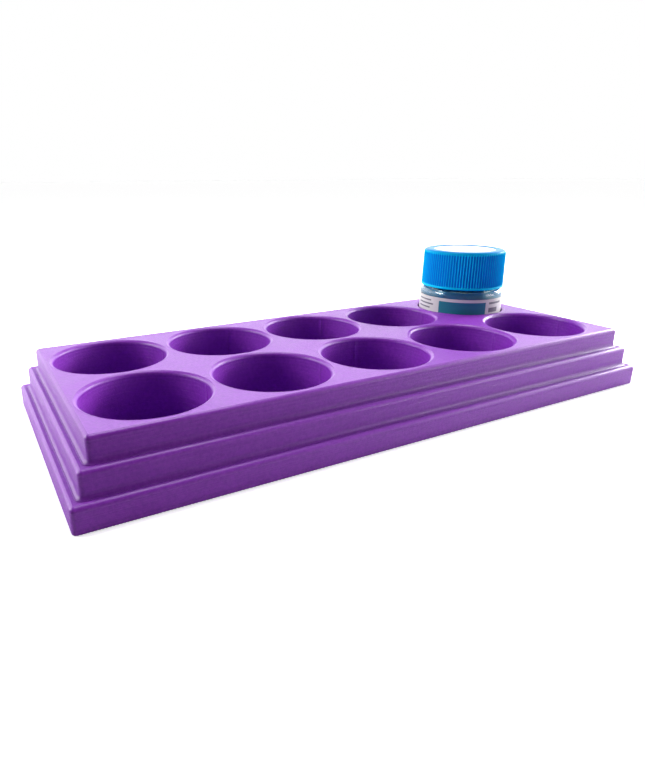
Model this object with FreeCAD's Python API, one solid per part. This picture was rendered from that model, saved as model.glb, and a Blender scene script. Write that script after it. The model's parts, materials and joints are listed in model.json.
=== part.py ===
"""Stepped paint rack with ten jar sockets, holding one screw-cap paint jar.

Frame: +X along the five columns, +Y towards the back row, +Z up.
The origin is the centre of the rack's underside. Millimetres.
"""
import FreeCAD, Part
import math
import os

from FreeCAD import Vector

# ---- rack: three stepped tiers and a grid of blind sockets ----
SOCKET_PITCH = 36.0
SOCKET_COLUMNS = 5
SOCKET_ROWS = 2
SOCKET_R = 16.5
SOCKET_DEPTH = 15.4
END_WALL = 2.5            # top tier, past the end sockets
SIDE_WALL = 3.0           # top tier, past the front and back sockets
TIER_HEIGHTS = (6.6, 6.4, 6.4)   # bottom, middle, top
LEDGE = 2.75              # how far each tier stands out past the one above
EDGE_R = 1.0              # rounding of tier edges and socket rims
FOOT_R = 1.3              # hollow where a tier meets the ledge below
BASE_R = 0.5              # rounding of the underside's edge
CORNER_R = 1.2            # plan rounding of the tiers' upright edges

# ---- jar: where it stands and its glass ----
JAR_COLUMN = 4            # last column
JAR_ROW = 1               # back row
GLASS_R = 16.0
GLASS_HEEL_R = 1.6
GLASS_WALL = 2.1
GLASS_FLOOR = 3.2
SHOULDER_Z = 21.8         # heights in the jar are measured from its underside
SHOULDER_R = 2.3
NECK_Z = SHOULDER_Z + SHOULDER_R
NECK_TOP_Z = 36.55
NECK_R = 13.2
NECK_BORE_R = 11.4
RIM_R = 0.5
THROAT_Z = 21.3           # where the cavity starts to narrow
PAINT_TOP_Z = 22.6
PAINT_GAP = 0.02

# ---- label round the glass ----
LABEL_T = 0.15
LABEL_Z = 3.0
LABEL_TOP_Z = 20.9

# ---- screw cap ----
CAP_Z = 24.35
CAP_HEIGHT = 14.4
CAP_BOTTOM_R = 15.95
CAP_TOP_R = 15.65
CAP_EDGE_R = 1.3
CAP_FOOT_R = 0.4
CAP_ROOF = 1.2
CAP_BORE_R = 14.4
RIB_COUNT = 96
RIB_DEPTH = 0.32
RIB_Z = CAP_Z + 0.8       # the ribs stop above a plain rim
DISC_R = 11.8
DISC_T = 0.2
DISC_RECESS = 0.4
LINER_R = 14.1
LINER_T = 1.0

# ---- right-hand thread on the neck and in the cap ----
THREAD_PITCH = 3.2
THREAD_TURNS = 1.4
THREAD_DEPTH = 0.9
THREAD_ROOT_W = 1.3
THREAD_CREST_W = 0.8
THREAD_SINK = 0.3         # how far a ridge is let into the wall that carries it
NECK_THREAD_Z = 29.4      # height of the neck ridge's lower end

RACK_HEIGHT = sum(TIER_HEIGHTS)
FLOOR_Z = RACK_HEIGHT - SOCKET_DEPTH
TOP_LENGTH = (SOCKET_COLUMNS - 1) * SOCKET_PITCH + 2 * (SOCKET_R + END_WALL)
TOP_WIDTH = (SOCKET_ROWS - 1) * SOCKET_PITCH + 2 * (SOCKET_R + SIDE_WALL)
CAP_TOP_Z = CAP_Z + CAP_HEIGHT
UP = Vector(0, 0, 1)
TOL = 1e-6


def socket_centre(column, row):
    """Plan position of a socket; column 0 is the left end, row 0 the front."""
    x = (column - (SOCKET_COLUMNS - 1) / 2) * SOCKET_PITCH
    y = (row - (SOCKET_ROWS - 1) / 2) * SOCKET_PITCH
    return x, y


def arc(start, middle, end):
    """An arc in the XZ half plane through three (radius, height) points."""
    points = [Vector(r, 0, z) for r, z in (start, middle, end)]
    return Part.Arc(*points).toShape()


def line(start, end):
    """A straight edge in the XZ half plane between (radius, height) points."""
    return Part.makeLine(Vector(start[0], 0, start[1]), Vector(end[0], 0, end[1]))


def quarter(centre, radius, from_deg, to_deg):
    """An arc of a circle in the XZ half plane, angles from +X towards +Z."""
    points = []
    for angle in (from_deg, (from_deg + to_deg) / 2, to_deg):
        a = math.radians(angle)
        points.append((centre[0] + radius * math.cos(a), centre[1] + radius * math.sin(a)))
    return arc(*points)


def end_point(edge, last=True):
    vertex = edge.lastVertex(True) if last else edge.firstVertex(True)
    return vertex.Point.x, vertex.Point.z


def turned(steps):
    """Solid of revolution about Z. Steps are (radius, height) points or arcs."""
    edges = []
    first = None
    here = None
    for step in steps:
        is_point = isinstance(step, tuple)
        start = step if is_point else end_point(step, last=False)
        if first is None:
            first = start
        elif math.dist(here, start) > TOL:
            edges.append(line(here, start))
        if not is_point:
            edges.append(step)
        here = step if is_point else end_point(step)
    edges.append(line(here, first))
    face = Part.Face(Part.Wire(edges))
    return face.revolve(Vector(0, 0, 0), UP, 360)


# ---------------------------------------------------------------- rack

def tier_size(index):
    """Plan length and width of a tier, counted from the bottom one."""
    grow = 2 * LEDGE * (len(TIER_HEIGHTS) - 1 - index)
    return TOP_LENGTH + grow, TOP_WIDTH + grow


def tier_block(index):
    """One tier as a box with rounded upright edges."""
    length, width = tier_size(index)
    bottom = sum(TIER_HEIGHTS[:index])
    corner = Vector(-length / 2, -width / 2, bottom)
    block = Part.makeBox(length, width, TIER_HEIGHTS[index], corner)
    uprights = [e for e in block.Edges if abs(e.tangentAt(e.FirstParameter).z) > 0.9]
    return block.makeFillet(CORNER_R, uprights)


def outline_edges(block, index, height):
    """The level edges of a block that run round a tier's outline at a height."""
    length, width = tier_size(index)
    found = []
    for edge in block.Edges:
        box = edge.BoundBox
        level = abs(box.ZMin - height) < TOL and abs(box.ZMax - height) < TOL
        at_end = abs(max(-box.XMin, box.XMax) - length / 2) < TOL
        at_side = abs(max(-box.YMin, box.YMax) - width / 2) < TOL
        if level and (at_end or at_side):
            found.append(edge)
    return found


def stepped_block():
    """The three tiers as one solid with its edges and feet rounded."""
    blocks = [tier_block(i) for i in range(len(TIER_HEIGHTS))]
    block = blocks[0].fuse(blocks[1:]).removeSplitter()
    tops = [sum(TIER_HEIGHTS[:i + 1]) for i in range(len(TIER_HEIGHTS))]
    block = block.makeFillet(BASE_R, outline_edges(block, 0, 0))
    for index in range(1, len(TIER_HEIGHTS)):
        block = block.makeFillet(FOOT_R, outline_edges(block, index, tops[index - 1]))
    for index, top in enumerate(tops):
        block = block.makeFillet(EDGE_R, outline_edges(block, index, top))
    return block


def socket_cutter():
    """The space of one socket, flared where its rim is rounded."""
    flare = quarter((SOCKET_R + EDGE_R, RACK_HEIGHT - EDGE_R), EDGE_R, 180, 90)
    above = RACK_HEIGHT + EDGE_R
    return turned([(0, FLOOR_Z), (SOCKET_R, FLOOR_Z), flare, (SOCKET_R + EDGE_R, above), (0, above)])


def rack_body():
    cutters = []
    for column in range(SOCKET_COLUMNS):
        for row in range(SOCKET_ROWS):
            x, y = socket_centre(column, row)
            cutters.append(socket_cutter().translated(Vector(x, y, 0)))
    return stepped_block().cut(cutters)


# ---------------------------------------------------------------- threads

def thread_ridge(wall_r, inward, bottom_z):
    """A helical ridge on a wall of radius wall_r, facing the axis if inward."""
    side = -1 if inward else 1
    root_r = wall_r - side * THREAD_SINK
    crest_r = wall_r + side * THREAD_DEPTH
    section = [
        Vector(root_r, 0, bottom_z - THREAD_ROOT_W / 2),
        Vector(crest_r, 0, bottom_z - THREAD_CREST_W / 2),
        Vector(crest_r, 0, bottom_z + THREAD_CREST_W / 2),
        Vector(root_r, 0, bottom_z + THREAD_ROOT_W / 2),
    ]
    profile = Part.makePolygon(section + section[:1])
    helix = Part.makeHelix(THREAD_PITCH, THREAD_PITCH * THREAD_TURNS, wall_r)
    helix.translate(Vector(0, 0, bottom_z))
    return Part.Wire(helix.Edges).makePipeShell([profile], True, True)


# ---------------------------------------------------------------- jar

def jar_glass():
    """Hollow bottle with a rounded heel and shoulder and a threaded neck."""
    cavity_r = GLASS_R - GLASS_WALL
    heel = quarter((GLASS_R - GLASS_HEEL_R, GLASS_HEEL_R), GLASS_HEEL_R, -90, 0)
    shoulder = quarter((GLASS_R - SHOULDER_R, SHOULDER_Z), SHOULDER_R, 0, 90)
    rim_outer = quarter((NECK_R - RIM_R, NECK_TOP_Z - RIM_R), RIM_R, 0, 90)
    rim_inner = quarter((NECK_BORE_R + RIM_R, NECK_TOP_Z - RIM_R), RIM_R, 90, 180)
    throat = quarter((cavity_r - SHOULDER_R, THROAT_Z), SHOULDER_R, 90, 0)
    bottle = turned([
        (0, 0), heel, shoulder, (NECK_R, NECK_Z), rim_outer, rim_inner,
        (NECK_BORE_R, THROAT_Z + SHOULDER_R), throat, (cavity_r, GLASS_FLOOR), (0, GLASS_FLOOR),
    ])
    return bottle.fuse(thread_ridge(NECK_R, False, NECK_THREAD_Z))


def paint_fill():
    """The paint that fills the glass up into the shoulder."""
    paint_r = GLASS_R - GLASS_WALL - PAINT_GAP
    turn = math.degrees(math.asin((PAINT_TOP_Z - THROAT_Z) / SHOULDER_R))
    shoulder = quarter((paint_r - SHOULDER_R, THROAT_Z), SHOULDER_R, 0, turn)
    base_z = GLASS_FLOOR + PAINT_GAP
    return turned([(0, base_z), (paint_r, base_z), shoulder, (0, PAINT_TOP_Z)])


def jar_label():
    outer = Part.makeCylinder(GLASS_R + LABEL_T, LABEL_TOP_Z - LABEL_Z, Vector(0, 0, LABEL_Z))
    return outer.cut(Part.makeCylinder(GLASS_R, LABEL_TOP_Z, Vector(0, 0, 0)))


# ---------------------------------------------------------------- cap

def ribbed_prism():
    """A tall prism whose outline is a ring of fine V-shaped ribs."""
    points = []
    for i in range(2 * RIB_COUNT):
        radius = CAP_BOTTOM_R if i % 2 == 0 else CAP_BOTTOM_R - RIB_DEPTH
        angle = math.pi * i / RIB_COUNT
        points.append(Vector(radius * math.cos(angle), radius * math.sin(angle), RIB_Z))
    outline = Part.Face(Part.makePolygon(points + points[:1]))
    return outline.extrude(Vector(0, 0, CAP_HEIGHT))


def cap_shell():
    """The cap: ribbed skirt, plain rim, recessed top and threaded bore."""
    roof_z = CAP_TOP_Z - CAP_ROOF
    top_edge = quarter((CAP_TOP_R - CAP_EDGE_R, CAP_TOP_Z - CAP_EDGE_R), CAP_EDGE_R, 0, 90)
    skirt = turned([
        (0, RIB_Z), (CAP_BOTTOM_R, RIB_Z), top_edge, (DISC_R, CAP_TOP_Z),
        (DISC_R, CAP_TOP_Z - DISC_RECESS), (0, CAP_TOP_Z - DISC_RECESS),
    ])
    rim_foot = quarter((CAP_BOTTOM_R - CAP_FOOT_R, CAP_Z + CAP_FOOT_R), CAP_FOOT_R, -90, 0)
    rim = turned([(0, CAP_Z), rim_foot, (CAP_BOTTOM_R, RIB_Z), (0, RIB_Z)])
    blank = skirt.common(ribbed_prism()).fuse(rim)
    bore = Part.makeCylinder(CAP_BORE_R, roof_z, Vector(0, 0, 0))
    ridge = thread_ridge(CAP_BORE_R, True, NECK_THREAD_Z - THREAD_PITCH / 2)
    return blank.cut(bore).fuse(ridge)


def cap_disc():
    """Plain round card let into the cap's top."""
    return Part.makeCylinder(DISC_R, DISC_T, Vector(0, 0, CAP_TOP_Z - DISC_RECESS))


def cap_liner():
    """Loose sealing wad between the glass rim and the cap's roof."""
    return Part.makeCylinder(LINER_R, LINER_T, Vector(0, 0, NECK_TOP_Z))


def export(node, shape, place=Vector(0, 0, 0)):
    solid = shape.translated(place)
    box = solid.BoundBox
    size = f"{box.XLength:.2f} x {box.YLength:.2f} x {box.ZLength:.2f}"
    print(node, "valid", solid.isValid(), "solids", len(solid.Solids), "size", size)
    solid.exportStep(f"parts/{node}.step")


def main():
    os.makedirs("parts", exist_ok=True)
    jar_x, jar_y = socket_centre(JAR_COLUMN, JAR_ROW)
    jar_place = Vector(jar_x, jar_y, FLOOR_Z)
    export("rack_body", rack_body())
    jar_pieces = (jar_glass, paint_fill, jar_label, cap_liner, cap_shell, cap_disc)
    for piece in jar_pieces:
        export(piece.__name__, piece(), jar_place)


main()
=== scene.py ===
"""Looks for a printed paint rack with one screw-cap paint jar standing in it.

Lengths are millimetres until a mesh is made. The frame is the CAD's: +X along the five
columns, +Y towards the back row, +Z up, the origin under the middle of the rack.
"""

import json
import math
import random

import bpy
from mathutils import Matrix, Vector, geometry, noise

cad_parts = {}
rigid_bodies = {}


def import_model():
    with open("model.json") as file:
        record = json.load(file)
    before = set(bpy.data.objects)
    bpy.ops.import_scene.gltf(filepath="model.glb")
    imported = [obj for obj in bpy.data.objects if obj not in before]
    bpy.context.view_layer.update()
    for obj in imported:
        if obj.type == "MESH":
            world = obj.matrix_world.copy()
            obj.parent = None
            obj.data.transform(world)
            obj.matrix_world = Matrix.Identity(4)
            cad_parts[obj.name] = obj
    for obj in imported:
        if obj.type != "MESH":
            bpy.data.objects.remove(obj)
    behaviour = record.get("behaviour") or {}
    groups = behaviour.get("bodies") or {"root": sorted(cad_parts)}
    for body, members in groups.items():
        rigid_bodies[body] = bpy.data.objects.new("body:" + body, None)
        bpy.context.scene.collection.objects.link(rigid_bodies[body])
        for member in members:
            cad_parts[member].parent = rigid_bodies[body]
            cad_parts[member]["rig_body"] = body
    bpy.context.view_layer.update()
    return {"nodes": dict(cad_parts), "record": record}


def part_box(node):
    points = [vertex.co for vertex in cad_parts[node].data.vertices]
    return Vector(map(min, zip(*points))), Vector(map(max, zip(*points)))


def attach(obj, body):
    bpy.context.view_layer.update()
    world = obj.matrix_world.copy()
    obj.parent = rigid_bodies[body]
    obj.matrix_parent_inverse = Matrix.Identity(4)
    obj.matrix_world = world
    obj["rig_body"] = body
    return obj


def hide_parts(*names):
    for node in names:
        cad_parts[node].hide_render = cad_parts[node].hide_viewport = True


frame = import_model()

MM = 0.001
TURN = 2 * math.pi


def node_box(node):
    """A CAD node's lowest and highest corners in millimetres."""
    low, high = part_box(node)
    return low / MM, high / MM


# ---- rack: tiers, printed layers and sockets ----
RACK_LOW, RACK_HIGH = node_box("rack_body")
SOCKET = next(m for m in frame["record"]["mounts"] if m["kind"] == "bore")
SOCKET_R = SOCKET["dims"]["r_mm"]
SOCKET_PITCH = 36.0
SOCKET_COLUMNS = 5
SOCKET_ROWS = 2
TIER_HEIGHTS = (6.6, 6.4, 6.4)    # bottom, middle, top
LEDGE = 2.75                      # how far each tier stands out past the one above
EDGE_R = 1.15                     # rounding of tier edges and socket rims
FOOT_R = 1.3                      # hollow where a tier meets the ledge below
BASE_R = 0.5                      # rounding of the underside's edge
CORNER_R = 1.2                    # plan rounding of the upright edges
BEAD_RISE = 0.04                  # height of the fine bead where a rounded edge meets the flat
# (how far in from the wall, height above the flat) across that bead
EDGE_BEAD = ((0.92, 0.005), (0.99, BEAD_RISE), (1.04, BEAD_RISE), (1.10, 0.0), (1.17, 0.0))
# (how far out on the ledge, height above it) across the bead round a foot
FOOT_BEAD = ((1.00, 0.0), (0.97, 0.11), (0.92, 0.15), (0.85, 0.145))
EDGE_TURN = 72                    # degrees of a rounded edge below its bead
FOOT_TURN = 66                    # degrees of a hollow foot above its bead
ARC_STEPS = 6                     # points on a rounded edge
LAYER = 0.28                      # printed layer height
GROOVE = 0.03                     # depth of the line between two layers
WALL_SHARES = (0.2, 0.8)          # where a layer has rings between its lines, on the outside
SOCKET_SHARES = (0.5,)            # and in a socket
WOBBLE = 0.008                    # how far one layer strays from the next
CORNER_STEPS = 6                  # points on an upright edge, and along the long and short sides
LONG_STEPS = 8
SHORT_STEPS = 4
SOCKET_STEPS = 72                 # points round a socket
SEAM_HEIGHT = 0.09                # ridge where each layer of a socket wall starts
SEAM_HALF_WIDTH = 0.8             # degrees
SEAM_ANGLES = ((2, 2, 75, 2, 5), (2, 56, 45, 2, 2))   # front row and back row, degrees from +X
SEAM_STRAY = 0.35                 # degrees the seam wanders to each side

# ---- jar ----
GLASS_LOW, GLASS_HIGH = node_box("jar_glass")
CAP_LOW, CAP_HIGH = node_box("cap_shell")
DISC_LOW, DISC_HIGH = node_box("cap_disc")
PAINT_LOW, PAINT_HIGH = node_box("paint_fill")
LABEL_LOW, LABEL_HIGH = node_box("jar_label")
JAR_X = (GLASS_LOW.x + GLASS_HIGH.x) / 2
JAR_Y = (GLASS_LOW.y + GLASS_HIGH.y) / 2
FLOOR_Z = GLASS_LOW.z
GLASS_R = (GLASS_HIGH.x - GLASS_LOW.x) / 2
GLASS_WALL = 2.1
GLASS_FLOOR = 3.2
FLOOR_CORNER_R = 1.0              # rounding where the hollow's wall meets its floor
HEEL_R = 1.6
PUNT_R = 12.5                     # the raised middle of the bottle's underside
PUNT_RISE = 0.5
SHOULDER_Z = 21.8                 # heights in the jar are measured from its underside
SHOULDER_R = 2.3
THROAT_Z = 21.3
NECK_R = 13.2
NECK_BORE_R = 11.4
RIM_R = 0.5
NECK_TOP_Z = GLASS_HIGH.z - FLOOR_Z
NECK_FOOT = 0.3                   # size of the hollow where the neck meets the shoulder
PAINT_OVERLAP = 0.06              # the paint reaches this far into the glass, so no gap shows
LABEL_T = 0.12
LABEL_LIFT = 0.02                 # the label's face stays this far inside its CAD solid
LABEL_RIPPLE = 0.018
JAR_STEPS = 96                    # points round the jar

# ---- cap ----
CAP_R = (CAP_HIGH.x - CAP_LOW.x) / 2
CAP_Z = CAP_LOW.z - FLOOR_Z
CAP_TOP_Z = CAP_HIGH.z - FLOOR_Z
CAP_TAPER = 0.3                   # how much narrower the cap is at its top
CAP_EDGE_R = 1.3
CAP_FOOT_R = 0.4
CAP_ROOF = 1.2
CAP_BORE_R = 14.4
RIM_HEIGHT = 0.8                  # plain band under the ribs
RIM_STEP = 0.08                   # how far the ribs' crests lie inside the band
RIB_COUNT = 96
RIB_DEPTH = 0.32
RIB_GROOVE = (0.0, 0.65, 1.0, 1.0, 1.0, 0.65)   # depth across one rib, from its crest
RIB_FOOT = 0.25                   # height over which the grooves deepen, and fade at the top
RIB_FADE = 0.9
SKIRT_SHARES = (0.0, 0.02, 0.05, 0.25, 0.5, 0.75, 0.95, 0.98, 1.0)
DISC_R = (DISC_HIGH.x - DISC_LOW.x) / 2
DISC_FLOOR_Z = DISC_LOW.z - FLOOR_Z
SEAT_GAP = 0.02                   # air between the card or the liner and the cap

# ---- right-hand thread on the neck and in the cap ----
THREAD_PITCH = 3.2
THREAD_TURNS = 1.4
THREAD_DEPTH = 0.9
THREAD_ROOT_W = 1.3
THREAD_CREST_W = 0.8
THREAD_FADE = 0.08                # turns over which a ridge rises at its ends
NECK_THREAD_Z = 29.4
THREAD_STEP = 0.3                 # ring spacing where a wall carries the thread

# ---- camera: place, direction and lens ----
CAMERA_PLACE = (-108.9, -152.2, 70.4)
CAMERA_AZIMUTH = -28.48           # degrees, 0 looks along +Y
CAMERA_ELEVATION = 18.46
CAMERA_ROLL = -0.28
CAMERA_LENS = 26.88
CAMERA_SHIFT = (0.0655, -0.0223)

# ---- studio ----
FLOOR_REACH = 12.0                # metres
FLOOR_GLOW = 0.62
FLOOR_BOUNCE = (-0.16, -0.02, 0.22, 0.95)   # metres AWAY from the middle, share of light returned
AWAY = Vector((-math.sin(math.radians(CAMERA_AZIMUTH)), math.cos(math.radians(CAMERA_AZIMUTH)), 0))
BEHIND = (-0.12, 0.45, 0.045, 1.0)     # how far a direction points AWAY, and the share of light there
OVERHEAD = (0.34, 0.66, 3.3, 0.10)    # how far a direction points up, and the brightness there

random.seed(11)


# ---------------------------------------------------------------- mesh helpers

def show(name, points, faces, node, material, sharp_deg=35):
    """Make a piece from points in millimetres; it rides and stands for a CAD node."""
    mesh = bpy.data.meshes.new(name)
    mesh.from_pydata([Vector(p) * MM for p in points], [], faces)
    mesh.polygons.foreach_set("use_smooth", [True] * len(mesh.polygons))
    mesh.set_sharp_from_angle(angle=math.radians(sharp_deg))
    mesh.materials.append(material)
    mesh.update()
    piece = bpy.data.objects.new(name, mesh)
    bpy.context.scene.collection.objects.link(piece)
    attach(piece, frame["nodes"][node]["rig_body"])
    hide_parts(node)
    return piece


def bridge(faces, lower, upper, inward=False):
    """Add the quads between two closed rings of point numbers."""
    count = len(lower)
    for i in range(count):
        j = (i + 1) % count
        quad = (lower[i], lower[j], upper[j], upper[i])
        faces.append(quad[::-1] if inward else quad)


def bend(centre, radius, from_deg, to_deg, steps=6):
    """Points of an arc in a (radius, height) profile, angles from outwards towards up."""
    points = []
    for k in range(steps + 1):
        a = math.radians(from_deg + (to_deg - from_deg) * k / steps)
        points.append((centre[0] + radius * math.cos(a), centre[1] + radius * math.sin(a)))
    return points


def rise(radius, low, high, step):
    """Points up or down a straight wall, about this far apart."""
    count = max(1, round(abs(high - low) / step))
    return [(radius, low + (high - low) * k / count) for k in range(count + 1)]


def turned(profile, steps, shape=None, closed=False):
    """Turn a (radius, height) profile about the jar's axis, as (points, faces).

    shape(index, angle, radius, height) may change each point's radius.
    """
    points, faces, rings = [], [], []
    for index, (radius, height) in enumerate(profile):
        ring = []
        on_axis = radius < 1e-6
        for k in range(1 if on_axis else steps):
            angle = TURN * k / steps
            r = shape(index, angle, radius, height) if shape and not on_axis else radius
            ring.append(len(points))
            points.append((JAR_X + r * math.cos(angle), JAR_Y + r * math.sin(angle), FLOOR_Z + height))
        rings.append(ring)
    pairs = list(zip(rings, rings[1:]))
    if closed:
        pairs.append((rings[-1], rings[0]))
    for lower, upper in pairs:
        if len(lower) == 1:
            faces += [(lower[0], upper[(i + 1) % steps], upper[i]) for i in range(steps)]
        elif len(upper) == 1:
            faces += [(lower[i], lower[(i + 1) % steps], upper[0]) for i in range(steps)]
        else:
            bridge(faces, lower, upper)
    return points, faces


# ---------------------------------------------------------------- node helpers

RANGE_INPUTS = ("From Min", "From Max", "To Min", "To Max")


class Recipe:
    """Short calls that build one material out of nodes."""

    def __init__(self, name):
        self.material = bpy.data.materials.new(name)
        self.material.use_nodes = True
        self.tree = self.material.node_tree
        self.shader = self.tree.nodes["Principled BSDF"]
        self.inputs = self.shader.inputs
        coordinates = self.tree.nodes.new("ShaderNodeTexCoord")
        self.place = self.vector("MULTIPLY", coordinates.outputs["Object"], (1 / MM,) * 3)

    def put(self, value, socket):
        if isinstance(value, bpy.types.NodeSocket):
            self.tree.links.new(value, socket)
        else:
            socket.default_value = value

    def math(self, operation, *values, clamp=False):
        node = self.tree.nodes.new("ShaderNodeMath")
        node.operation = operation
        node.use_clamp = clamp
        for value, socket in zip(values, node.inputs):
            self.put(value, socket)
        return node.outputs[0]

    def vector(self, operation, *values):
        node = self.tree.nodes.new("ShaderNodeVectorMath")
        node.operation = operation
        for value, socket in zip(values, node.inputs):
            self.put(value, socket)
        return node.outputs[0]

    def split(self, vector):
        node = self.tree.nodes.new("ShaderNodeSeparateXYZ")
        self.put(vector, node.inputs[0])
        return node.outputs

    def noise(self, vector, scale, detail=2.0, roughness=0.5):
        node = self.tree.nodes.new("ShaderNodeTexNoise")
        self.put(vector, node.inputs["Vector"])
        node.inputs["Scale"].default_value = scale
        node.inputs["Detail"].default_value = detail
        node.inputs["Roughness"].default_value = roughness
        return node.outputs["Fac"]

    def per_step(self, value):
        """A steady random number for each whole step of a value."""
        node = self.tree.nodes.new("ShaderNodeTexWhiteNoise")
        node.noise_dimensions = "1D"
        self.put(self.math("FLOOR", value), node.inputs["W"])
        return node.outputs["Value"]

    def remap(self, value, low, high, to_low, to_high, smooth=False):
        node = self.tree.nodes.new("ShaderNodeMapRange")
        node.interpolation_type = "SMOOTHSTEP" if smooth else "LINEAR"
        self.put(value, node.inputs["Value"])
        for name, number in zip(RANGE_INPUTS, (low, high, to_low, to_high)):
            node.inputs[name].default_value = number
        return node.outputs["Result"]

    def blend(self, factor, first, second):
        """Mix two colours."""
        node = self.tree.nodes.new("ShaderNodeMix")
        node.data_type = "RGBA"
        self.put(factor, node.inputs["Factor"])
        for value, socket in ((first, node.inputs["A"]), (second, node.inputs["B"])):
            wanted = [s for s in node.inputs if s.name == socket.name and s.type == "RGBA"][0]
            self.put(value if isinstance(value, bpy.types.NodeSocket) else (*value, 1), wanted)
        return [s for s in node.outputs if s.type == "RGBA"][0]

    def bump(self, height, depth_mm, strength=1.0):
        node = self.tree.nodes.new("ShaderNodeBump")
        node.inputs["Strength"].default_value = strength
        node.inputs["Distance"].default_value = depth_mm * MM
        self.put(height, node.inputs["Height"])
        self.put(node.outputs["Normal"], self.inputs["Normal"])

    def facing(self, axis):
        """How much the surface faces along an axis, from -1 to 1."""
        node = self.tree.nodes.new("ShaderNodeNewGeometry")
        return self.split(node.outputs["Normal"])[axis]


# ---------------------------------------------------------------- materials

def rack_plastic():
    """Satin purple filament: uneven layers on the walls, diagonal fill lines on flats."""
    m = Recipe("rack_plastic")
    x, y, z = m.split(m.place)
    layer = m.per_step(m.math("DIVIDE", z, LAYER))
    grain = m.noise(m.place, 2.2, 4)
    cloud = m.noise(m.place, 0.035, 3)
    streak = m.noise(m.vector("MULTIPLY", m.place, (0.12, 0.12, 3.6)), 1.0, 3)
    grit = m.noise(m.place, 1.1, 3, 0.7)
    light = m.math("ADD", m.math("MULTIPLY", cloud, 0.25), m.math("MULTIPLY", layer, 0.15))
    light = m.math("ADD", light, m.math("MULTIPLY", streak, 0.25))
    light = m.math("ADD", light, m.remap(grit, 0.35, 0.65, 0.0, 0.35), clamp=True)
    m.put(m.blend(light, (0.155, 0.008, 0.32), (0.285, 0.036, 0.51)), m.inputs["Base Color"])
    on_top = m.remap(m.math("ABSOLUTE", m.facing(2)), 0.9, 0.97, 0.0, 1.0)
    on_ledge = m.math("MULTIPLY", on_top, m.math("LESS_THAN", z, RACK_HIGH.z - 1.0))
    rough = m.math("ADD", m.math("MULTIPLY", streak, 0.10), m.math("MULTIPLY", grain, 0.08))
    rough = m.math("ADD", rough, m.math("MULTIPLY", on_ledge, 0.15))
    m.put(m.math("ADD", rough, 0.33), m.inputs["Roughness"])
    m.inputs["IOR"].default_value = 1.5
    diagonal = m.math("MULTIPLY", m.math("ADD", x, y), TURN / (0.45 * math.sqrt(2)))
    fill = m.math("MULTIPLY", m.math("SINE", diagonal), 0.35)
    side = m.math("ADD", m.math("MULTIPLY", layer, 0.5), m.math("MULTIPLY", streak, 0.9))
    lines = m.math("ADD", m.math("MULTIPLY", fill, on_top),
                   m.math("MULTIPLY", side, m.math("SUBTRACT", 1.0, on_top)))
    m.bump(m.math("ADD", lines, m.math("MULTIPLY", grain, 0.8)), 0.05, 0.9)
    return m.material


def cap_plastic():
    """Moulded azure plastic with a fine sparked grain, with painted shade in the rib grooves and
    painted shade over the rounded top edge and the top ring.
    """
    m = Recipe("cap_plastic")
    cloud = m.noise(m.place, 0.12, 3)
    grain = m.noise(m.place, 5.0, 3)
    wall = m.blend(cloud, (0.0, 0.60, 0.97), (0.0, 0.66, 1.0))
    x, y, z = m.split(m.vector("SUBTRACT", m.place, (JAR_X, JAR_Y, 0)))
    from_axis = m.math("SQRT", m.math("ADD", m.math("MULTIPLY", x, x), m.math("MULTIPLY", y, y)))
    taper = m.remap(z, CAP_LOW.z + RIM_HEIGHT, CAP_HIGH.z, RIM_STEP, CAP_TAPER)
    sunk = m.math("SUBTRACT", m.math("SUBTRACT", CAP_R, taper), from_axis)
    on_skirt = m.math("LESS_THAN", z, CAP_HIGH.z - CAP_EDGE_R)
    # painted shade: from the rounded top edge up over the top ring the colour shifts to a darker blue
    crown_shade = m.remap(z, CAP_HIGH.z - CAP_EDGE_R, CAP_HIGH.z - 0.2, 0.0, 1.0)
    crown_shaded_wall = m.blend(crown_shade, wall, (0.0, 0.22, 0.55))
    # painted shade: the base colour turns a deeper blue with depth into the rib grooves, standing in
    # for the shade there
    dark = m.math("MULTIPLY", m.remap(sunk, 0.05, RIB_DEPTH, 0.0, 1.0), on_skirt)
    m.put(m.blend(dark, crown_shaded_wall, (0.0, 0.25, 0.80)), m.inputs["Base Color"])
    m.put(m.remap(grain, 0.3, 0.7, 0.30, 0.42), m.inputs["Roughness"])
    m.inputs["IOR"].default_value = 1.12
    m.bump(grain, 0.012, 0.6)
    return m.material


def clear_glass():
    """Clear glass with faint mould waves."""
    m = Recipe("clear_glass")
    m.inputs["Transmission Weight"].default_value = 1.0
    m.inputs["IOR"].default_value = 1.5
    tint = m.noise(m.place, 0.3, 2)
    m.put(m.blend(tint, (0.70, 0.93, 0.96), (0.80, 0.96, 0.97)), m.inputs["Base Color"])
    m.put(m.remap(m.noise(m.place, 0.8, 3), 0.3, 0.7, 0.06, 0.14), m.inputs["Roughness"])
    m.bump(m.noise(m.vector("MULTIPLY", m.place, (1.0, 1.0, 0.4)), 0.35, 2), 0.03, 0.6)
    return m.material


def sky_paint():
    """Sky-blue paint with faint swirls of unmixed pigment."""
    m = Recipe("sky_paint")
    swirl = m.noise(m.vector("MULTIPLY", m.place, (0.5, 0.5, 1.4)), 0.3, 4, 0.6)
    m.put(m.blend(swirl, (0.03, 0.20, 0.42), (0.06, 0.30, 0.55)), m.inputs["Base Color"])
    m.put(m.remap(swirl, 0.3, 0.7, 0.10, 0.22), m.inputs["Roughness"])
    m.bump(swirl, 0.05, 0.4)
    return m.material


def label_box(m, across, up, centre, half_size):
    """1 inside a rectangle of the label; degrees round the jar and millimetres up it."""
    inside_u = m.math("COMPARE", across, centre[0], half_size[0])
    inside_v = m.math("COMPARE", up, centre[1], half_size[1])
    return m.math("MULTIPLY", inside_u, inside_v)


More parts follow.
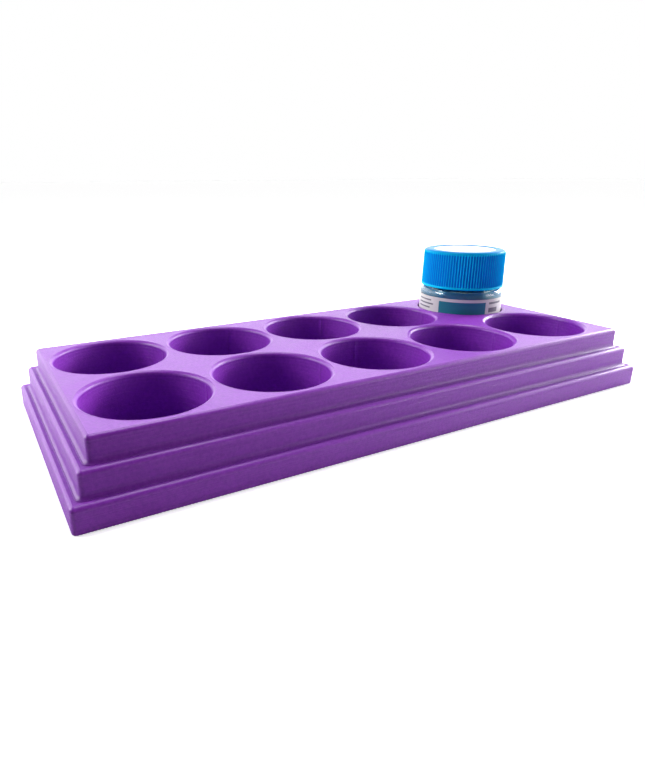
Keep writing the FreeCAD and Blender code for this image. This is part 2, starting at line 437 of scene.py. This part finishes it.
def label_paper():
    """White coated paper with a plain colour swatch and blank grey rules."""
    m = Recipe("label_paper")
    x, y, z = m.split(m.vector("SUBTRACT", m.place, (JAR_X, JAR_Y, FLOOR_Z)))
    front = math.atan2(CAMERA_PLACE[1] - JAR_Y, CAMERA_PLACE[0] - JAR_X)
    cos, sin = math.cos(front), math.sin(front)
    ahead = m.math("ADD", m.math("MULTIPLY", x, cos), m.math("MULTIPLY", y, sin))
    right = m.math("SUBTRACT", m.math("MULTIPLY", y, cos), m.math("MULTIPLY", x, sin))
    across = m.math("DEGREES", m.math("ARCTAN2", right, ahead))
    swatch = label_box(m, across, z, (4.5, 14.7), (33.0, 5.0))
    rules = 0.0
    for centre, half_size in (((-57.0, 19.4), (15.0, 0.28)), ((-55.0, 17.9), (17.0, 0.28)),
                              ((-58.0, 16.4), (14.0, 0.28)), ((56.0, 19.3), (13.0, 0.40)),
                              ((52.0, 16.6), (9.0, 0.9)), ((180.0, 14.0), (40.0, 0.5))):
        rules = m.math("MAXIMUM", rules, label_box(m, across, z, centre, half_size))
    fibre = m.noise(m.place, 3.0, 4)
    paper = m.blend(fibre, (0.66, 0.66, 0.615), (0.73, 0.73, 0.685))
    paper = m.blend(swatch, paper, (0.010, 0.20, 0.26))
    m.put(m.blend(rules, paper, (0.16, 0.16, 0.18)), m.inputs["Base Color"])
    m.put(m.remap(fibre, 0.3, 0.7, 0.34, 0.46), m.inputs["Roughness"])
    m.bump(fibre, 0.01, 0.5)
    return m.material


def plain_sheet(name, dark, light, grain_scale, depth_mm, rough):
    """A pale sheet material with fine grain, for the card and the liner."""
    m = Recipe(name)
    grain = m.noise(m.place, grain_scale, 4)
    m.put(m.blend(grain, dark, light), m.inputs["Base Color"])
    m.put(m.remap(grain, 0.3, 0.7, rough - 0.06, rough + 0.06), m.inputs["Roughness"])
    m.bump(grain, depth_mm, 0.6)
    return m.material


# ---------------------------------------------------------------- rack

def rounding(radius, last_deg):
    """(drawn in, distance from the flat) from a wall up to an angle round its rounded edge."""
    turns = [math.radians(last_deg * k / ARC_STEPS) for k in range(ARC_STEPS + 1)]
    return [(radius - radius * math.cos(a), radius - radius * math.sin(a)) for a in turns]


def printed_wall(low, high, shares):
    """(how far in, height) of each ring of a wall laid down in layers."""
    count = round((high - low) / LAYER)
    step = (high - low) / count
    rings = []
    for k in range(count):
        stray = random.uniform(0, WOBBLE)
        if k:
            rings.append((GROOVE + stray, low + k * step))
        rings += [(stray, low + (k + share) * step) for share in shares]
    return rings


def outline(half_x, half_y, radius, height):
    """A rounded rectangle, anticlockwise, with points along its sides too."""
    corners = ((1, 1, 0), (-1, 1, 90), (-1, -1, 180), (1, -1, 270))
    points = []
    for index, (sx, sy, start) in enumerate(corners):
        arc = []
        for k in range(CORNER_STEPS + 1):
            a = math.radians(start + 90 * k / CORNER_STEPS)
            x = sx * (half_x - radius) + radius * math.cos(a)
            y = sy * (half_y - radius) + radius * math.sin(a)
            arc.append(Vector((x, y, height)))
        next_sx, next_sy, next_start = corners[(index + 1) % 4]
        a = math.radians(next_start)
        ahead = Vector((next_sx * (half_x - radius) + radius * math.cos(a),
                        next_sy * (half_y - radius) + radius * math.sin(a), height))
        steps = LONG_STEPS if index % 2 == 0 else SHORT_STEPS
        points += arc + [arc[-1].lerp(ahead, k / steps) for k in range(1, steps)]
    return points


def tier_profile(tier):
    """(how far out past the wall, height) of each ring of a tier, from its foot to its top."""
    low = RACK_LOW.z + sum(TIER_HEIGHTS[:tier])
    flat = low + TIER_HEIGHTS[tier] - BEAD_RISE
    if tier == 0:
        profile = [(-inset, low + up) for inset, up in reversed(rounding(BASE_R, 90))]
        wall_low = low + BASE_R
    else:
        ledge = low - BEAD_RISE
        profile = [(reach, ledge + up) for reach, up in FOOT_BEAD]
        profile += [(reach, ledge + up) for reach, up in reversed(rounding(FOOT_R, FOOT_TURN))]
        wall_low = ledge + FOOT_R
    profile += [(-inset, z) for inset, z in printed_wall(wall_low, flat - EDGE_R, WALL_SHARES)]
    profile += [(-inset, flat - down) for inset, down in rounding(EDGE_R, EDGE_TURN)]
    return profile + [(-inset, flat + up) for inset, up in EDGE_BEAD]


def wall_rings():
    """Every ring of the rack's outside, from the underside to the top."""
    rings = []
    for tier in range(len(TIER_HEIGHTS)):
        face_x = RACK_HIGH.x - LEDGE * tier
        face_y = RACK_HIGH.y - LEDGE * tier
        for reach, z in tier_profile(tier):
            rings.append(outline(face_x + reach, face_y + reach, CORNER_R + reach, z))
    return rings


def socket_ring(centre, seam_deg, radius, height, ridge=0.0, shift=0.0):
    """One ring of a socket's wall, with extra points where the layer's seam stands."""
    seam = seam_deg + shift
    marks = [(seam_deg + 360 * k / SOCKET_STEPS, 0.0) for k in range(1, SOCKET_STEPS)]
    marks += [(seam - SEAM_HALF_WIDTH, 0.0), (seam, ridge), (seam + SEAM_HALF_WIDTH, 0.0)]
    points = []
    for angle, inward in sorted((angle % 360, inward) for angle, inward in marks):
        a = math.radians(angle)
        r = radius - inward
        points.append(Vector((centre[0] + r * math.cos(a), centre[1] + r * math.sin(a), height)))
    return points


def socket_rings(centre, seam_deg):
    """Every ring of one socket, from its floor to its rounded rim."""
    flat = RACK_HIGH.z - BEAD_RISE
    rings = [socket_ring(centre, seam_deg, SOCKET_R, FLOOR_Z)]
    for groove, z in printed_wall(FLOOR_Z, flat - EDGE_R, SOCKET_SHARES):
        shift = random.uniform(-SEAM_STRAY, SEAM_STRAY)
        rings.append(socket_ring(centre, seam_deg, SOCKET_R + groove, z, SEAM_HEIGHT, shift))
    rim = [(inset, flat - down) for inset, down in rounding(EDGE_R, EDGE_TURN)]
    rim += [(inset, flat + up) for inset, up in EDGE_BEAD]
    return rings + [socket_ring(centre, seam_deg, SOCKET_R + inset, z) for inset, z in rim]


def add_rings(points, faces, rings, inward):
    """Stack rings into a wall and return the first and last ring's point numbers."""
    numbered = []
    for ring in rings:
        numbered.append(list(range(len(points), len(points) + len(ring))))
        points.extend(ring)
    for lower, upper in zip(numbered, numbered[1:]):
        bridge(faces, lower, upper, inward)
    return numbered[0], numbered[-1]


def sockets():
    """Each socket's centre and the angle where its layers start."""
    for row in range(SOCKET_ROWS):
        for column in range(SOCKET_COLUMNS):
            x = (column - (SOCKET_COLUMNS - 1) / 2) * SOCKET_PITCH
            y = (row - (SOCKET_ROWS - 1) / 2) * SOCKET_PITCH
            yield (x, y), SEAM_ANGLES[row][column]


def add_top(points, faces, outer, rims):
    """The flat top between the outer edge and the sockets' rims."""
    loops = [outer] + rims
    order = [number for loop in loops for number in loop]
    flat = [points[number].xy for number in order]
    edges = []
    start = 0
    for loop in loops:
        edges += [(start + i, start + (i + 1) % len(loop)) for i in range(len(loop))]
        start += len(loop)
    made = geometry.delaunay_2d_cdt(flat, edges, [], 0, 1e-6)
    source = [origins[0] for origins in made[3]]
    owner = [k for k, loop in enumerate(loops) for _ in loop]
    for triangle in made[2]:
        owners = {owner[source[i]] for i in triangle}
        if len(owners) > 1 or owners == {0}:      # three points of one socket's loop lie in its hole
            faces.append(tuple(order[source[i]] for i in triangle))


def printed_rack():
    points, faces, rims = [], [], []
    underside, outer = add_rings(points, faces, wall_rings(), False)
    faces.append(tuple(reversed(underside)))
    for centre, seam_deg in sockets():
        floor, rim = add_rings(points, faces, socket_rings(centre, seam_deg), True)
        faces.append(tuple(floor))
        rims.append(rim)
    add_top(points, faces, outer, rims)
    return show("printed_rack", points, faces, "rack_body", rack_plastic())


# ---------------------------------------------------------------- jar

def thread_height(angle, height, start_z):
    """Share of the full ridge height at a place on a threaded wall."""
    best = 0.0
    for whole in range(math.ceil(THREAD_TURNS) + 1):
        turns = angle / TURN + whole
        off = abs(height - start_z - THREAD_PITCH * turns)
        across = (THREAD_ROOT_W / 2 - off) / ((THREAD_ROOT_W - THREAD_CREST_W) / 2)
        along = min(turns, THREAD_TURNS - turns) / THREAD_FADE
        best = max(best, min(1.0, max(0.0, across), max(0.0, along)))
    return best


def bottle():
    """Glass bottle: heel, waved wall, shoulder, threaded neck and hollow inside."""
    cavity_r = GLASS_R - GLASS_WALL
    neck_z = SHOULDER_Z + SHOULDER_R
    outside = [(0, PUNT_RISE), (PUNT_R - 1, PUNT_RISE), (PUNT_R, 0.1), (PUNT_R + 0.6, 0)]
    outside += bend((GLASS_R - HEEL_R, HEEL_R), HEEL_R, -90, 0)
    outside += rise(GLASS_R, HEEL_R, SHOULDER_Z, 2.0)[1:-1]
    outside += bend((GLASS_R - SHOULDER_R, SHOULDER_Z), SHOULDER_R, 0, 90, 8)
    outside += [(NECK_R + NECK_FOOT, neck_z), (NECK_R + 0.05, neck_z + 0.1)]
    outside += rise(NECK_R, neck_z + NECK_FOOT, NECK_TOP_Z - RIM_R, THREAD_STEP)
    outside += bend((NECK_R - RIM_R, NECK_TOP_Z - RIM_R), RIM_R, 0, 90, 4)[1:]
    inside = bend((NECK_BORE_R + RIM_R, NECK_TOP_Z - RIM_R), RIM_R, 90, 180, 4)
    inside += rise(NECK_BORE_R, NECK_TOP_Z - RIM_R, THROAT_Z + SHOULDER_R, 2.0)[1:]
    inside += bend((cavity_r - SHOULDER_R, THROAT_Z), SHOULDER_R, 90, 0, 8)
    corner = (cavity_r - FLOOR_CORNER_R, GLASS_FLOOR + FLOOR_CORNER_R)
    inside += rise(cavity_r, THROAT_Z, corner[1], 3.0)[1:]
    inside += bend(corner, FLOOR_CORNER_R, 0, -90, 4)[1:] + [(0, GLASS_FLOOR)]

    def shape(index, angle, radius, height):
        if index < len(outside) and neck_z < height < NECK_TOP_Z - RIM_R:
            return radius + THREAD_DEPTH * thread_height(angle, height, NECK_THREAD_Z)
        return radius

    points, faces = turned(outside + inside, JAR_STEPS, shape)
    return show("bottle", points, faces, "jar_glass", clear_glass())


def paint():
    """The paint, which fills the bottle up into its shoulder and dips in the middle."""
    radius = GLASS_R - GLASS_WALL + PAINT_OVERLAP
    top = PAINT_HIGH.z - FLOOR_Z
    base = PAINT_LOW.z - FLOOR_Z - PAINT_OVERLAP
    corner = (radius - FLOOR_CORNER_R, base + FLOOR_CORNER_R)
    fill_deg = math.degrees(math.asin(min(1.0, (top - THROAT_Z) / SHOULDER_R)))
    profile = [(0, base), (corner[0], base)] + bend(corner, FLOOR_CORNER_R, -90, 0, 4)[1:]
    profile += rise(radius, corner[1], THROAT_Z, 3.0)[1:]
    profile += bend((radius - SHOULDER_R, THROAT_Z), SHOULDER_R, 0, fill_deg, 4)[1:]
    edge_r = profile[-1][0]
    profile += [(edge_r - 0.4, top - 0.25), (edge_r - 1.0, top - 0.4), (0, top - 0.45)]
    points, faces = turned(profile, JAR_STEPS)
    return show("paint", points, faces, "paint_fill", sky_paint())


def label():
    """Wrapped paper with rounded edges, rippled a very little."""
    outer_r = (LABEL_HIGH.x - LABEL_LOW.x) / 2
    face_r = outer_r - LABEL_LIFT
    inner_r = outer_r - LABEL_T
    middle_r = (inner_r + outer_r) / 2
    low = LABEL_LOW.z - FLOOR_Z
    high = LABEL_HIGH.z - FLOOR_Z
    profile = [(middle_r, low), (face_r, low + 0.04)]
    profile += rise(face_r, low + 0.2, high - 0.2, 1.5)
    profile += [(face_r, high - 0.04), (middle_r, high), (inner_r, high - 0.06), (inner_r, low + 0.06)]

    def shape(index, angle, radius, height):
        ripple = noise.noise(Vector((math.cos(angle) * 2, math.sin(angle) * 2, height * 0.12)))
        return radius + LABEL_RIPPLE * ripple

    points, faces = turned(profile, JAR_STEPS, shape, closed=True)
    return show("label", points, faces, "jar_label", label_paper())


def cap_bore(roof_z):
    """The cap's inside, from the middle of its roof down to its lower edge."""
    bore = [(0, roof_z), (CAP_BORE_R - 0.3, roof_z), (CAP_BORE_R, roof_z - 0.3)]
    bore += rise(CAP_BORE_R, roof_z - 0.6, CAP_Z + 0.8, THREAD_STEP)
    return bore + [(CAP_BORE_R, CAP_Z + 0.3), (CAP_BORE_R + 0.2, CAP_Z)]


def cap_skirt(rib_low, rib_high):
    """The ribbed wall, which leans in towards the top."""
    skirt = []
    for share in SKIRT_SHARES:
        inset = RIM_STEP + (CAP_TAPER - RIM_STEP) * share
        skirt.append((CAP_R - inset, rib_low + (rib_high - rib_low) * share))
    return skirt


def cap_top(rib_high):
    """The rounded upper edge, the flat ring and the recess for the card."""
    top = bend((CAP_R - CAP_TAPER - CAP_EDGE_R, rib_high), CAP_EDGE_R, 0, 90, 8)[1:]
    top += [(DISC_R + 0.5, CAP_TOP_Z), (DISC_R + 0.15, CAP_TOP_Z - 0.04)]
    top += [(DISC_R + 0.02, CAP_TOP_Z - 0.16), (DISC_R + 0.02, DISC_FLOOR_Z)]
    return top + [(0, DISC_FLOOR_Z)]


def cap():
    """Cap: threaded bore, plain rim, fine ribs, rounded top and a recess for the card."""
    rib_low = CAP_Z + RIM_HEIGHT
    rib_high = CAP_TOP_Z - CAP_EDGE_R
    bore = cap_bore(CAP_TOP_Z - CAP_ROOF)
    rim = bend((CAP_R - CAP_FOOT_R, CAP_Z + CAP_FOOT_R), CAP_FOOT_R, -90, 0, 4)
    rim += [(CAP_R, rib_low - 0.25), (CAP_R - RIM_STEP, rib_low - 0.05)]
    skirt = cap_skirt(rib_low, rib_high)
    first_rib = len(bore) + len(rim)
    last_rib = first_rib + len(skirt) + 3      # the grooves run out in the rounded edge

    def shape(index, angle, radius, height):
        if index < len(bore):
            start_z = NECK_THREAD_Z - THREAD_PITCH / 2
            return radius - THREAD_DEPTH * thread_height(angle, height, start_z)
        if not first_rib <= index < last_rib:
            return radius
        step = round(angle / TURN * RIB_COUNT * len(RIB_GROOVE)) % len(RIB_GROOVE)
        at_foot = max(0.0, min(1.0, (height - rib_low) / RIB_FOOT))
        at_top = min(1.0, max(0.0, (rib_high + RIB_FADE - height) / RIB_FADE))
        return radius - RIB_DEPTH * RIB_GROOVE[step] * at_foot * at_top

    profile = bore + rim + skirt + cap_top(rib_high)
    points, faces = turned(profile, RIB_COUNT * len(RIB_GROOVE), shape)
    return show("screw_cap", points, faces, "cap_shell", cap_plastic(), sharp_deg=50)


def round_sheet(name, node, edge, material):
    """A thin round sheet with softened edges that just clears what it seats on."""
    low, high = node_box(node)
    radius = (high.x - low.x) / 2
    base, top = low.z - FLOOR_Z + SEAT_GAP, high.z - FLOOR_Z - SEAT_GAP
    profile = [(0, base), (radius * 0.5, base), (radius - edge, base), (radius, base + edge)]
    profile += [(radius, top - edge), (radius - edge, top), (radius * 0.5, top), (0, top)]
    points, faces = turned(profile, JAR_STEPS)
    return show(name, points, faces, node, material)


# ---------------------------------------------------------------- studio

def share_along(tree, vector, axis, limits):
    """A smooth change from one value to another along an axis."""
    along = tree.nodes.new("ShaderNodeVectorMath")
    along.operation = "DOT_PRODUCT"
    along.inputs[1].default_value = axis
    tree.links.new(vector, along.inputs[0])
    share = tree.nodes.new("ShaderNodeMapRange")
    share.interpolation_type = "SMOOTHSTEP"
    for name, value in zip(RANGE_INPUTS, limits):
        share.inputs[name].default_value = value
    tree.links.new(along.outputs["Value"], share.inputs["Value"])
    return share.outputs["Result"]


def floor_material():
    """Pale floor that looks white and throws back more light behind the rack than before it."""
    m = bpy.data.materials.new("floor")
    m.use_nodes = True
    nodes, links = m.node_tree.nodes, m.node_tree.links
    shown = nodes["Principled BSDF"]
    shown.inputs["Base Color"].default_value = (0.88, 0.88, 0.88, 1)
    shown.inputs["Roughness"].default_value = 0.9
    shown.inputs["Specular IOR Level"].default_value = 0.0
    shown.inputs["Emission Color"].default_value = (1, 1, 1, 1)
    shown.inputs["Emission Strength"].default_value = FLOOR_GLOW
    dull = nodes.new("ShaderNodeBsdfDiffuse")
    place = nodes.new("ShaderNodeTexCoord")
    bounce = share_along(m.node_tree, place.outputs["Object"], AWAY, FLOOR_BOUNCE)
    links.new(bounce, dull.inputs["Color"])
    seen = nodes.new("ShaderNodeLightPath")
    mix = nodes.new("ShaderNodeMixShader")
    links.new(seen.outputs["Is Camera Ray"], mix.inputs["Fac"])
    links.new(dull.outputs[0], mix.inputs[1])
    links.new(shown.outputs[0], mix.inputs[2])
    links.new(mix.outputs[0], nodes["Material Output"].inputs["Surface"])
    return m


def studio_floor():
    signs = ((-1, -1), (1, -1), (1, 1), (-1, 1))
    corners = [(sx * FLOOR_REACH, sy * FLOOR_REACH, 0) for sx, sy in signs]
    mesh = bpy.data.meshes.new("floor")
    mesh.from_pydata(corners, [], [(0, 1, 2, 3)])
    mesh.materials.append(floor_material())
    floor = bpy.data.objects.new("floor", mesh)
    bpy.context.scene.collection.objects.link(floor)


def studio_world():
    """White surroundings: brightest low down behind the rack, dim in front and overhead."""
    world = bpy.data.worlds.new("studio")
    bpy.context.scene.world = world
    world.use_nodes = True
    nodes, links = world.node_tree.nodes, world.node_tree.links
    light = nodes["Background"]
    direction = nodes.new("ShaderNodeTexCoord")
    shares = [share_along(world.node_tree, direction.outputs["Generated"], axis, limits)
              for axis, limits in ((AWAY, BEHIND), (Vector((0, 0, 1)), OVERHEAD))]
    product = nodes.new("ShaderNodeMath")
    product.operation = "MULTIPLY"
    for share, socket in zip(shares, product.inputs):
        links.new(share, socket)
    links.new(product.outputs[0], light.inputs["Strength"])
    light.inputs["Color"].default_value = (1, 1, 1, 1)
    backdrop = nodes.new("ShaderNodeBackground")
    backdrop.inputs["Color"].default_value = (1, 1, 1, 1)
    seen = nodes.new("ShaderNodeLightPath")
    mix = nodes.new("ShaderNodeMixShader")
    links.new(seen.outputs["Is Camera Ray"], mix.inputs["Fac"])
    links.new(light.outputs[0], mix.inputs[1])
    links.new(backdrop.outputs[0], mix.inputs[2])
    links.new(mix.outputs[0], nodes["World Output"].inputs["Surface"])


def softbox(name, place, target, size, watts):
    """A square area lamp aimed at a point, in millimetres, not seen itself."""
    data = bpy.data.lights.new(name, "AREA")
    data.shape = "SQUARE"
    data.size = size * MM
    data.energy = watts
    lamp = bpy.data.objects.new(name, data)
    lamp.location = Vector(place) * MM
    lamp.rotation_euler = (Vector(target) - Vector(place)).to_track_quat("-Z", "Y").to_euler()
    lamp.visible_camera = False
    bpy.context.scene.collection.objects.link(lamp)


def camera():
    """The camera: its axes come from azimuth, elevation and roll."""
    angles = (CAMERA_AZIMUTH, CAMERA_ELEVATION, CAMERA_ROLL)
    azimuth, elevation, roll = (math.radians(a) for a in angles)
    back = Vector((math.sin(azimuth) * math.cos(elevation),
                   -math.cos(azimuth) * math.cos(elevation), math.sin(elevation)))
    level = Vector((math.cos(azimuth), math.sin(azimuth), 0))
    upright = back.cross(level)
    right = level * math.cos(roll) + upright * math.sin(roll)
    up = upright * math.cos(roll) - level * math.sin(roll)
    data = bpy.data.cameras.new("camera")
    data.lens = CAMERA_LENS
    data.shift_x, data.shift_y = CAMERA_SHIFT
    data.clip_start = 0.005
    shot = bpy.data.objects.new("camera", data)
    turn = Matrix((right, up, back)).transposed().to_4x4()
    shot.matrix_world = Matrix.Translation(Vector(CAMERA_PLACE) * MM) @ turn
    bpy.context.scene.collection.objects.link(shot)
    bpy.context.scene.camera = shot


def studio():
    bpy.context.scene.view_settings.view_transform = "Standard"
    studio_floor()
    studio_world()
    softbox("overhead", (70, 140, 650), (0, 0, 0), 220, 3.1)
    softbox("right", (820, 60, 270), (40, 0, 20), 300, 8.2)
    softbox("right_front", (400, -330, 150), (40, 0, 10), 240, 0.9)
    softbox("left", (-490, 250, 260), (-40, 0, 10), 240, 2.4)
    camera()


printed_rack()
bottle()
paint()
label()
cap()
card = plain_sheet("disc_card", (0.84, 0.84, 0.82), (0.93, 0.93, 0.91), 2.5, 0.01, 0.45)
round_sheet("top_card", "cap_disc", 0.04, card)
foam = plain_sheet("liner_foam", (0.76, 0.76, 0.72), (0.88, 0.88, 0.85), 3.0, 0.04, 0.7)
round_sheet("seal_liner", "cap_liner", 0.15, foam)
studio()
